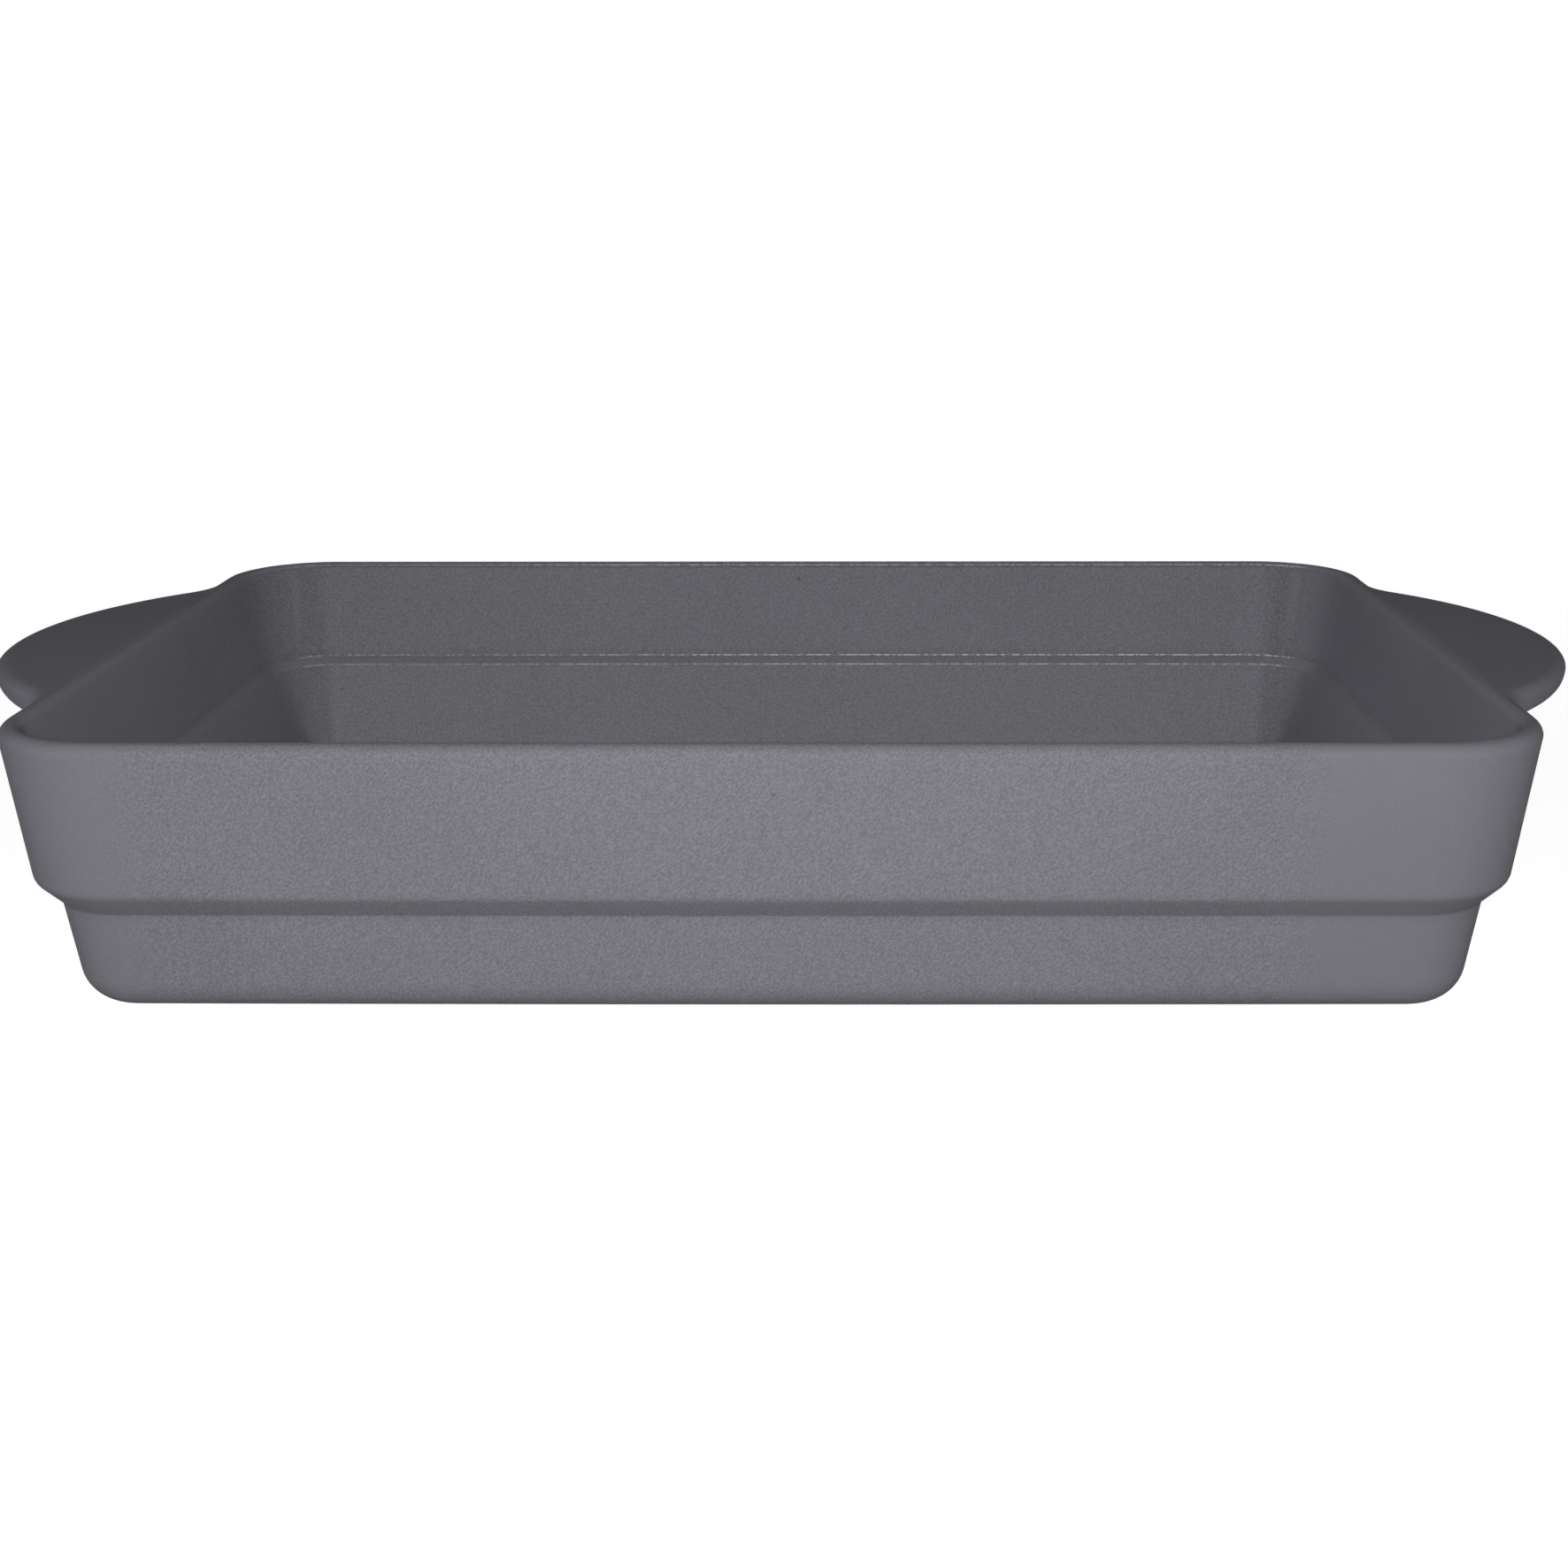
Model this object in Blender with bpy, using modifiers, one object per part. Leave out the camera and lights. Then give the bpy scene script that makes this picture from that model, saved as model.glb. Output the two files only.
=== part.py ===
"""Rectangular stoneware baking dish with a stepped wall and two rounded end handles.

The dish is one fired piece. It is modelled as its three formed parts, which a potter joins with
slip before firing: the pressed tray and the two handle lugs on its short ends.
Sizes are in millimetres. +X runs through the handles, +Z is up, and the foot stands on z = 0.
"""

import math

import bmesh
import bpy

MM = 0.001

# Plan of the dish, measured over the rim
RIM_LENGTH = 340.0
RIM_WIDTH = 230.0
CORNER_RADIUS = 27.0
TIGHTEST_CORNER = 6.0
RIM_BOW = 0.5
BASE_BOW = 3.6
CORNER_SEGMENTS = 7
LONG_SIDE_SEGMENTS = 8

# Heights and thicknesses
HEIGHT = 64.6
UPPER_WALL_THICKNESS = 4.8
LOWER_WALL_THICKNESS = 4.4
RIM_THICKNESS = 4.7
FLOOR_THICKNESS = 6.5

# Outer wall: each draft is how far that tier leans in from its top to its foot
UPPER_TIER_FOOT = 29.7
UPPER_TIER_DRAFT = 4.8
SHOULDER_DROP = 5.4
SHOULDER_DEPTH = 5.6
LOWER_TIER_DRAFT = 4.2

# Inner wall: the ledge that the shoulder makes inside
LEDGE_ABOVE_SHOULDER = 6.2
LEDGE_WIDTH = 3.0
LEDGE_FALL = 2.2

# Foot ring under the base
FOOT_WIDTH = 7.0
FOOT_HEIGHT = 1.0

# Rounded edges
RIM_OUTER_RADIUS = 2.3
RIM_INNER_RADIUS = 3.0
SHOULDER_EDGE_RADIUS = 3.6
SHOULDER_COVE_RADIUS = 1.4
BASE_EDGE_RADIUS = 9.5
LEDGE_COVE_RADIUS = 0.9
LEDGE_EDGE_RADIUS = 0.9
FLOOR_COVE_RADIUS = 6.0

# Handles: a round lobe on each short end, with a hollow flare where it leaves the wall
HANDLE_REACH = 29.4
HANDLE_LOBE_RADIUS = 90.0
HANDLE_FLARE_RADIUS = 17.0
HANDLE_BELOW_RIM = 0.3
HANDLE_LIP_THICKNESS = 6.5
HANDLE_ROOT_THICKNESS = 10.6
HANDLE_EDGE_RADIUS = 3.0
HANDLE_ROOT_DEPTH = 9.0
HANDLE_EDGE_SEGMENTS = 4
HANDLE_EDGE_ANGLE = 60.0
LOBE_SEGMENTS = 28
FLARE_SEGMENTS = 6

# Clearance between the tray and each handle
JOINT_GAP = 0.3

# How far a facet of a rounded edge may stand off the true arc, and the angle that stays sharp
FACET_SAG = 0.05
SHARP_ANGLE = 40.0

GLAZE_COLOUR = (0.205, 0.202, 0.223, 1.0)
GLAZE_ROUGHNESS = 0.55


def clear_scene():
    """Remove everything that the scene holds."""
    for item in list(bpy.data.objects):
        bpy.data.objects.remove(item, do_unlink=True)


def new_collection(name):
    """Make a collection in the scene and return it."""
    collection = bpy.data.collections.new(name)
    bpy.context.scene.collection.children.link(collection)
    return collection


def glaze_material(name):
    """Make the matt grey glaze."""
    material = bpy.data.materials.new(name)
    material.use_nodes = True
    shader = material.node_tree.nodes["Principled BSDF"]
    shader.inputs["Base Color"].default_value = GLAZE_COLOUR
    shader.inputs["Roughness"].default_value = GLAZE_ROUGHNESS
    shader.inputs["Metallic"].default_value = 0.0
    material.diffuse_color = GLAZE_COLOUR
    return material


def object_from_bmesh(name, bm, collection):
    """Turn a bmesh in millimetres into an object in metres."""
    bmesh.ops.scale(bm, vec=(MM, MM, MM), verts=bm.verts)
    mesh = bpy.data.meshes.new(name)
    bm.to_mesh(mesh)
    bm.free()
    item = bpy.data.objects.new(name, mesh)
    collection.objects.link(item)
    return item


def fillet(before, corner, after, radius):
    """Points of an arc that rounds one corner of a profile."""
    to_before = (before[0] - corner[0], before[1] - corner[1])
    to_after = (after[0] - corner[0], after[1] - corner[1])
    length_before = math.hypot(*to_before)
    length_after = math.hypot(*to_after)
    unit_before = (to_before[0] / length_before, to_before[1] / length_before)
    unit_after = (to_after[0] / length_after, to_after[1] / length_after)
    opening = math.acos(unit_before[0] * unit_after[0] + unit_before[1] * unit_after[1])
    setback = radius / math.tan(opening / 2)
    reach = radius / math.sin(opening / 2)
    middle = (unit_before[0] + unit_after[0], unit_before[1] + unit_after[1])
    scale = reach / math.hypot(*middle)
    centre = (corner[0] + middle[0] * scale, corner[1] + middle[1] * scale)
    start = (corner[0] + unit_before[0] * setback, corner[1] + unit_before[1] * setback)
    sweep = math.pi - opening
    first = math.atan2(start[1] - centre[1], start[0] - centre[0])
    turn = unit_before[0] * unit_after[1] - unit_before[1] * unit_after[0]
    direction = -1.0 if turn > 0 else 1.0
    facet = 2.0 * math.acos(1.0 - FACET_SAG / radius)
    segments = math.ceil(sweep / facet)
    points = []
    for step in range(segments + 1):
        angle = first + direction * sweep * step / segments
        points.append((centre[0] + radius * math.cos(angle), centre[1] + radius * math.sin(angle)))
    return points


def rounded_profile(corners):
    """Round each inner corner of a list of (inset, height, radius)."""
    points = [corners[0][:2]]
    for before, corner, after in zip(corners, corners[1:], corners[2:]):
        points += fillet(before[:2], corner[:2], after[:2], corner[2])
    points.append(corners[-1][:2])
    return points


def shoulder_foot():
    """Height of the line where the shoulder meets the lower tier."""
    return UPPER_TIER_FOOT - SHOULDER_DROP


def base_inset():
    """How far the lower tier's foot stands in from the rim."""
    return UPPER_TIER_DRAFT + SHOULDER_DEPTH + LOWER_TIER_DRAFT


def rim_corner_inset():
    """Where the leaning wall would meet the rim's top, so that the rounded rim is full size."""
    lean = math.atan2(UPPER_TIER_DRAFT, HEIGHT - UPPER_TIER_FOOT)
    return -RIM_OUTER_RADIUS * (math.tan(lean) + 1.0 / math.cos(lean) - 1.0)


def outer_corners():
    """Corners of the outer wall, from the foot to the rim."""
    return [
        (base_inset() + BASE_EDGE_RADIUS + FOOT_WIDTH, 0.0),
        (base_inset(), 0.0, BASE_EDGE_RADIUS),
        (UPPER_TIER_DRAFT + SHOULDER_DEPTH, shoulder_foot(), SHOULDER_COVE_RADIUS),
        (UPPER_TIER_DRAFT, UPPER_TIER_FOOT, SHOULDER_EDGE_RADIUS),
        (rim_corner_inset(), HEIGHT, RIM_OUTER_RADIUS),
        (RIM_THICKNESS, HEIGHT),
    ]


def inner_corners():
    """Corners of the inner wall, from the rim to the floor."""
    ledge_height = UPPER_TIER_FOOT + LEDGE_ABOVE_SHOULDER
    ledge_share = (HEIGHT - ledge_height) / (HEIGHT - UPPER_TIER_FOOT)
    ledge_inset = UPPER_WALL_THICKNESS + UPPER_TIER_DRAFT * ledge_share
    nose_inset = ledge_inset + LEDGE_WIDTH
    nose_height = ledge_height - LEDGE_FALL
    notch_inset = UPPER_TIER_DRAFT + SHOULDER_DEPTH + LOWER_WALL_THICKNESS
    lower_slope = (notch_inset - nose_inset) / (nose_height - shoulder_foot())
    floor_inset = nose_inset + lower_slope * (nose_height - FLOOR_THICKNESS)
    return [
        (RIM_OUTER_RADIUS, HEIGHT),
        (RIM_THICKNESS, HEIGHT, RIM_INNER_RADIUS),
        (ledge_inset, ledge_height, LEDGE_COVE_RADIUS),
        (nose_inset, nose_height, LEDGE_EDGE_RADIUS),
        (floor_inset, FLOOR_THICKNESS, FLOOR_COVE_RADIUS),
        (floor_inset + 2 * FLOOR_COVE_RADIUS, FLOOR_THICKNESS),
    ]


def corner_radius(inset):
    """Plan radius of the dish's corners at one inset from the rim."""
    return max(CORNER_RADIUS - inset, TIGHTEST_CORNER)


def plan_outline(inset, height):
    """Rounded rectangle in plan, its long sides bowed slightly outwards."""
    bow = BASE_BOW + (RIM_BOW - BASE_BOW) * height / HEIGHT
    half_length = RIM_LENGTH / 2 - inset
    half_width = RIM_WIDTH / 2 - inset
    radius = corner_radius(inset)
    points = []
    for quarter in range(4):
        side_x = 1.0 if quarter in (0, 3) else -1.0
        side_y = 1.0 if quarter in (0, 1) else -1.0
        centre_x = side_x * (half_length - radius)
        centre_y = side_y * (half_width - radius)
        for step in range(CORNER_SEGMENTS + 1):
            angle = math.radians(90.0 * (quarter + step / CORNER_SEGMENTS))
            points.append((centre_x + radius * math.cos(angle), centre_y + radius * math.sin(angle)))
        if quarter in (0, 2):
            for step in range(1, LONG_SIDE_SEGMENTS):
                share = 1.0 - 2.0 * step / LONG_SIDE_SEGMENTS
                points.append((centre_x * share, side_y * half_width))
    return [(x, y + math.copysign(bow * (1.0 - (x / half_length) ** 2), y)) for x, y in points]


def skin(bm, profile):
    """Loft plan outlines along a profile and return the rings of vertices."""
    rings = []
    for inset, height in profile:
        rings.append([bm.verts.new((x, y, height)) for x, y in plan_outline(inset, height)])
    for lower, upper in zip(rings, rings[1:]):
        count = len(lower)
        for index in range(count):
            after = (index + 1) % count
            bm.faces.new((lower[index], lower[after], upper[after], upper[index]))
    return rings


def build_tray(collection, material):
    """The pressed tray: base, stepped wall, rounded rim and inner ledge."""
    outer = rounded_profile(outer_corners())[:-1]
    inner = rounded_profile(inner_corners())[1:]
    recess = [(outer[0][0], FOOT_HEIGHT)]
    bm = bmesh.new()
    rings = skin(bm, recess + outer + inner[:-1])
    bm.faces.new(tuple(reversed(rings[0])))
    bm.faces.new(tuple(rings[-1]))
    tray = object_from_bmesh("dish_tray", bm, collection)
    tray.data.materials.append(material)
    tray.data.shade_smooth()
    tray.data.set_sharp_from_angle(angle=math.radians(SHARP_ANGLE))
    return tray


def grown_envelope(collection):
    """Outer shape of the tray, grown by the joint gap, which trims the handles' roots."""
    profile = rounded_profile(outer_corners())
    grown = []
    for index, (inset, height) in enumerate(profile):
        before = profile[max(index - 1, 0)]
        after = profile[min(index + 1, len(profile) - 1)]
        along = (after[0] - before[0], after[1] - before[1])
        length = math.hypot(*along)
        outward = (-along[1] / length, along[0] / length)
        grown.append((inset + JOINT_GAP * outward[0], height + JOINT_GAP * outward[1]))
    bm = bmesh.new()
    rings = skin(bm, grown)
    bm.faces.new(tuple(reversed(rings[0])))
    bm.faces.new(tuple(rings[-1]))
    cutter = object_from_bmesh("tray_envelope", bm, collection)
    cutter.hide_render = True
    cutter.display_type = "WIRE"
    return cutter


def handle_outline():
    """Plan of the right handle: flare, lobe and flare, closed inside the wall."""
    wall_x = RIM_LENGTH / 2
    lobe_x = wall_x + HANDLE_REACH - HANDLE_LOBE_RADIUS
    flare_x = wall_x + HANDLE_FLARE_RADIUS
    reach = HANDLE_LOBE_RADIUS + HANDLE_FLARE_RADIUS
    flare_y = math.sqrt(reach ** 2 - (flare_x - lobe_x) ** 2)
    turn = math.atan2(flare_y, flare_x - lobe_x)
    lobe = []
    for step in range(LOBE_SEGMENTS + 1):
        angle = turn * (2.0 * step / LOBE_SEGMENTS - 1.0)
        lobe.append((lobe_x + HANDLE_LOBE_RADIUS * math.cos(angle), HANDLE_LOBE_RADIUS * math.sin(angle)))
    flare = []
    for step in range(1, FLARE_SEGMENTS + 1):
        angle = turn + math.pi - turn * step / FLARE_SEGMENTS
        flare.append((
            flare_x + HANDLE_FLARE_RADIUS * math.cos(angle),
            flare_y + HANDLE_FLARE_RADIUS * math.sin(angle),
        ))
    root_x = wall_x - HANDLE_ROOT_DEPTH
    root = [(root_x, flare_y), (root_x, -flare_y)]
    mirrored = [(x, -y) for x, y in reversed(flare)]
    return lobe + flare + root + mirrored


def build_handle(name, side, envelope, collection, material):
    """One handle lug, trimmed to the wall that it is joined to."""
    top = HEIGHT - HANDLE_BELOW_RIM
    wall_x = RIM_LENGTH / 2
    bm = bmesh.new()
    upper = [bm.verts.new((x, y, top)) for x, y in handle_outline()]
    cap = bm.faces.new(upper)
    extruded = bmesh.ops.extrude_face_region(bm, geom=[cap], use_keep_orig=True)
    lower = [part for part in extruded["geom"] if isinstance(part, bmesh.types.BMVert)]
    slope = (HANDLE_ROOT_THICKNESS - HANDLE_LIP_THICKNESS) / HANDLE_REACH
    for vertex in lower:
        beyond = wall_x + HANDLE_REACH - vertex.co.x
        vertex.co.z = top - HANDLE_LIP_THICKNESS - slope * beyond
    bmesh.ops.recalc_face_normals(bm, faces=bm.faces)
    handle = object_from_bmesh(name, bm, collection)
    handle.data.materials.append(material)

    rounding = handle.modifiers.new("rounded_edge", "BEVEL")
    rounding.width = HANDLE_EDGE_RADIUS * MM
    rounding.segments = HANDLE_EDGE_SEGMENTS
    rounding.limit_method = "ANGLE"
    rounding.angle_limit = math.radians(HANDLE_EDGE_ANGLE)
    rounding.use_clamp_overlap = False

    if side < 0:
        handle.rotation_euler = (0.0, 0.0, math.pi)

    trimming = handle.modifiers.new("trimmed_to_wall", "BOOLEAN")
    trimming.operation = "DIFFERENCE"
    trimming.object = envelope
    handle.data.shade_smooth()
    return handle


def main():
    """Build the tray and its two handles."""
    clear_scene()
    parts = new_collection("baking_dish")
    cutters = new_collection("cutters")
    glaze = glaze_material("matt_grey_glaze")
    build_tray(parts, glaze)
    envelope = grown_envelope(cutters)
    build_handle("left_handle", -1, envelope, parts, glaze)
    build_handle("right_handle", 1, envelope, parts, glaze)


main()
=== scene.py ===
"""Dressed model of a rectangular stoneware baking dish with a matt grey glaze.

The real dish is one fired piece, so its tray and both handle lugs are modelled here as one
continuous glazed body. The plan outline is drawn first, with the handles in it, and is then
walked down the outer wall and over the rim into the tray, one inset for each point of the
wall's section. Sizes are in millimetres; +X runs through the handles and the foot stands on z = 0.
"""

import logging
import math
from dataclasses import dataclass, field
from enum import Enum
from typing import Callable

import bmesh
import bpy
import numpy as np
from mathutils import Matrix, Vector


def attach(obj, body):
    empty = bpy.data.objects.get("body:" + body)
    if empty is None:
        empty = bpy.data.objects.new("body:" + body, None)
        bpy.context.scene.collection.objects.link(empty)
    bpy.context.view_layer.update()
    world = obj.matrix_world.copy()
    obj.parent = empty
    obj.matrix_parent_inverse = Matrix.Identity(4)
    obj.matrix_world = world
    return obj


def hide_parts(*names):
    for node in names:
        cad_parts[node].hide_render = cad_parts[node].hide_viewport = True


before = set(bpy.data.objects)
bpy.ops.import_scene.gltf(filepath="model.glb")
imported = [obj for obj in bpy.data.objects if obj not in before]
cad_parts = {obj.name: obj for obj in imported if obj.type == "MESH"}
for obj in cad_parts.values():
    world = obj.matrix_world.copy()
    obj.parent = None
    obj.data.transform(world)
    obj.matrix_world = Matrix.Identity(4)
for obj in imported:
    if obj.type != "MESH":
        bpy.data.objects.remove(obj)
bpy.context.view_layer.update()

LOG = logging.getLogger("baking_dish")

Point = tuple[float, float]
Triple = tuple[float, float, float]
Tree = bpy.types.NodeTree
Node = bpy.types.Node
Socket = bpy.types.NodeSocket

# One millimetre in the frame's metres.
MM = 0.001
# Below these, two places are one, an offset doesn't count, and a length is none.
TOUCH = 1e-3
HAIR = 1e-4
SLIVER = 1e-6
# Z of a unit normal above which its face counts as level.
LEVEL = 0.99
# The fewest steps along a rounding.
LEAST_FACETS = 4
WHITE: Triple = (1.0, 1.0, 1.0)
COOL_TINT: Triple = (0.98, 0.97, 1.04)


class Side(Enum):
    """The two short ends of the dish, which carry the handles."""

    LEFT = -1.0
    RIGHT = 1.0


class Mask(Enum):
    """Names of the values that the body's mesh carries for its glaze, painted glints and painted
    shade among them.
    """

    # Painted glints: pale lines on the inner edges that face the front.
    EDGE = "painted_glint_lines"
    CORNER = "corner_turn"
    # Painted shade in hollows.
    HOLLOW = "painted_hollow_shade"
    FOOT = "wiped_foot"


@dataclass(frozen=True)
class Station:
    """One ring of the body: how far it stands in from the rim, its height, and how much of
    each handle's reach it keeps."""

    inset: float
    height: float
    reach: float = 0.0


def fillet(before: Point, corner: Point, after: Point, radius: float, facet: float) -> list[Point]:
    """Round one corner of a section.

    Args:
        before: The point that the section comes from.
        corner: The sharp corner.
        after: The point that the section goes on to.
        radius: The radius of the rounding.
        facet: The longest step along the arc.

    Returns:
        The points of the arc, from the first straight to the second.
    """
    came = Vector(before) - Vector(corner)
    goes = Vector(after) - Vector(corner)
    came.normalize()
    goes.normalize()
    opening = came.angle(goes)
    sweep = math.pi - opening
    centre = Vector(corner) + (came + goes).normalized() * (radius / math.sin(opening / 2))
    start = Vector(corner) + came * (radius / math.tan(opening / 2)) - centre
    turn = sweep if came.x * goes.y - came.y * goes.x < 0 else -sweep
    count = max(LEAST_FACETS, math.ceil(radius * sweep / facet))
    points = []
    for step in range(count + 1):
        angle = turn * step / count
        points.append((
            centre.x + start.x * math.cos(angle) - start.y * math.sin(angle),
            centre.y + start.x * math.sin(angle) + start.y * math.cos(angle),
        ))
    return points


def section(corners: list[tuple[float, ...]], facet: float) -> list[Point]:
    """Round the inner corners of a section.

    Args:
        corners: Points as (inset, height), with a third value, the radius, between the ends.
        facet: The longest step along an arc.

    Returns:
        The rounded section's points.
    """
    points: list[Point] = [(corners[0][0], corners[0][1])]
    for before, corner, after in zip(corners, corners[1:], corners[2:]):
        points += fillet(before[:2], corner[:2], after[:2], corner[2], facet)
    points.append((corners[-1][0], corners[-1][1]))
    return points


def filled_in(points: list[Point], spacing: float) -> list[Point]:
    """Put points on a section's long straights.

    Args:
        points: The section.
        spacing: The longest straight that is left.

    Returns:
        The section with the added points.
    """
    filled = [points[0]]
    for start, end in zip(points, points[1:]):
        length = math.dist(start, end)
        if length < SLIVER:
            continue
        count = math.ceil(length / spacing)
        for step in range(1, count + 1):
            share = step / count
            filled.append((
                start[0] + (end[0] - start[0]) * share,
                start[1] + (end[1] - start[1]) * share,
            ))
    return filled


def ramp(value: np.ndarray, start: float, width: float) -> np.ndarray:
    """Rise evenly from 0 to 1.

    Args:
        value: The values to read.
        start: The value at which the rise starts.
        width: How much further on it ends.

    Returns:
        The share that each value has risen.
    """
    return np.clip((value - start) / width, 0.0, 1.0)


def triples(items: bpy.types.bpy_prop_collection, name: str) -> np.ndarray:
    """Read a vector from each item of a mesh.

    Args:
        items: The mesh's vertices or normals.
        name: The vector's name.

    Returns:
        One row for each item.
    """
    values = np.empty(len(items) * 3)
    items.foreach_get(name, values)
    return values.reshape(-1, 3)


def pick_alone(item: bpy.types.Object) -> None:
    """Select one object and make it the active one.

    Args:
        item: The object.
    """
    bpy.ops.object.select_all(action="DESELECT")
    item.select_set(True)
    bpy.context.view_layer.objects.active = item


@dataclass
class WallSizes:
    """Sizes of the tray's wall, rim, ledge and foot."""

    length: float = 340.0
    width: float = 230.0
    height: float = 64.6
    corner: float = 28.0
    upper_thickness: float = 4.8
    lower_thickness: float = 4.4
    rim: float = 4.7
    rim_outer_round: float = 2.8
    rim_inner_round: float = 2.6
    shoulder_height: float = 29.7
    upper_draft: float = 4.8
    shoulder_drop: float = 5.4
    shoulder_depth: float = 5.6
    shoulder_round: float = 3.6
    shoulder_cove: float = 1.4
    lower_draft: float = 4.2
    base_round: float = 9.5
    ledge_rise: float = 6.2
    ledge_width: float = 3.0
    ledge_fall: float = 2.2
    ledge_cove: float = 0.9
    ledge_round: float = 0.9
    floor_height: float = 6.5
    floor_cove: float = 6.0
    foot_width: float = 8.2
    foot_height: float = 1.0
    rim_bow: float = 0.32
    base_bow: float = 3.6
    facet: float = 0.6
    spacing: float = 2.6

    @property
    def lean(self) -> float:
        """Angle of the upper tier off the vertical."""
        return math.atan2(self.upper_draft, self.height - self.shoulder_height)

    @property
    def widest_height(self) -> float:
        """Height of the rim's widest line."""
        return self.height - self.rim_outer_round

    @property
    def rim_corner(self) -> float:
        """Inset at which the leaning wall would meet the top of the rim."""
        return -self.rim_outer_round * (math.tan(self.lean) + 1.0 / math.cos(self.lean) - 1.0)

    @property
    def base_inset(self) -> float:
        """Inset at which the lower tier would meet the table."""
        return self.upper_draft + self.shoulder_depth + self.lower_draft

    def outer(self) -> list[Point]:
        """Section of the outside, from the rim's widest line down to the foot's outer edge.

        Returns:
            Its points as (inset, height).
        """
        cove_height = self.shoulder_height - self.shoulder_drop
        whole = section([
            (self.rim, self.height),
            (self.rim_corner, self.height, self.rim_outer_round),
            (self.upper_draft, self.shoulder_height, self.shoulder_round),
            (self.upper_draft + self.shoulder_depth, cove_height, self.shoulder_cove),
            (self.base_inset, 0.0, self.base_round),
            (self.base_inset + self.base_round + self.foot_width, 0.0),
        ], self.facet)
        below = [point for point in whole[:-1] if point[1] < self.widest_height - TOUCH]
        return filled_in([(0.0, self.widest_height)] + below, self.spacing)

    def rounding(self) -> list[Point]:
        """Section of the rim's outer rounding, from its widest line up to the top.

        Returns:
            Its points as (inset, height).
        """
        count = math.ceil(self.rim_outer_round * math.pi / 2 / self.facet)
        points = []
        for step in range(1, count + 1):
            angle = math.pi / 2 * step / count
            inset = self.rim_outer_round * (1.0 - math.cos(angle))
            points.append((inset, self.widest_height + self.rim_outer_round * math.sin(angle)))
        return points

    def inner(self) -> list[Point]:
        """Section of the inside, from the flat top of the rim down to the floor.

        Returns:
            Its points as (inset, height).
        """
        ledge = self.shoulder_height + self.ledge_rise
        ledge_share = (self.height - ledge) / (self.height - self.shoulder_height)
        ledge_inset = self.upper_thickness + self.upper_draft * ledge_share
        nose_inset = ledge_inset + self.ledge_width
        nose = ledge - self.ledge_fall
        notch = self.shoulder_height - self.shoulder_drop
        notch_inset = self.upper_draft + self.shoulder_depth + self.lower_thickness
        lower_slope = (notch_inset - nose_inset) / (nose - notch)
        floor_inset = nose_inset + lower_slope * (nose - self.floor_height)
        whole = section([
            (self.rim_outer_round, self.height),
            (self.rim, self.height, self.rim_inner_round),
            (ledge_inset, ledge, self.ledge_cove),
            (nose_inset, nose, self.ledge_round),
            (floor_inset, self.floor_height, self.floor_cove),
            (floor_inset + 2.0 * self.floor_cove, self.floor_height),
        ], self.facet)
        return filled_in(whole[1:-1], self.spacing)

    def inset_at(self, height: float) -> float:
        """Inset of the upper tier's outer face at one height."""
        fall = (self.height - height) / (self.height - self.shoulder_height)
        return self.rim_corner + (self.upper_draft - self.rim_corner) * fall


@dataclass
class HandleSizes:
    """Sizes of a handle lug: a round lobe that flares into the wall. Its root's section follows
    the wall to the root depth, and a ring that keeps less than the least share is all wall."""

    reach: float = 29.4
    lobe: float = 90.0
    flare: float = 17.0
    lip: float = 5.8
    root: float = 10.8
    lip_round: float = 2.8
    upper_round: float = 4.2
    root_cove: float = 9.0
    root_depth: float = 26.0
    least_share: float = 0.004
    columns: int = 71

    @property
    def flare_end(self) -> float:
        """Distance from the dish's middle to where the flare meets the wall."""
        across = self.lobe + self.flare
        return math.sqrt(across ** 2 - (across - self.reach) ** 2)

    def outline(self, y: float) -> float:
        """How far the handle stands out from the wall.

        Args:
            y: Place along the short side, from its middle.

        Returns:
            The distance out from the wall's line.
        """
        if abs(y) >= self.flare_end:
            return 0.0
        across = self.lobe + self.flare
        meeting = self.lobe * self.flare_end / across
        if abs(y) <= meeting:
            return math.sqrt(self.lobe ** 2 - y ** 2) - (self.lobe - self.reach)
        return self.flare - math.sqrt(self.flare ** 2 - (self.flare_end - abs(y)) ** 2)

    def underside(self, wall: WallSizes) -> list[Station]:
        """Rings that shape the lip's lower edge and the hollow root under the handle.

        Args:
            wall: The sizes of the wall that the handle grows from.

        Returns:
            Stations from just below the widest line to the wall.
        """
        root_foot = wall.height - self.root_depth
        points = section([
            (self.reach, wall.widest_height),
            (self.reach, wall.height - self.lip, self.lip_round),
            (0.0, wall.height - self.root, self.root_cove),
            (-wall.inset_at(root_foot), root_foot),
        ], wall.facet)
        rings = []
        for out, height in filled_in(points, wall.spacing):
            if height >= wall.widest_height - TOUCH:
                continue
            inset = wall.inset_at(height)
            share = max(0.0, (out + inset) / self.reach)
            rings.append(Station(inset, height, share if share > self.least_share else 0.0))
            if rings[-1].reach == 0.0:
                break
        return rings


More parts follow.
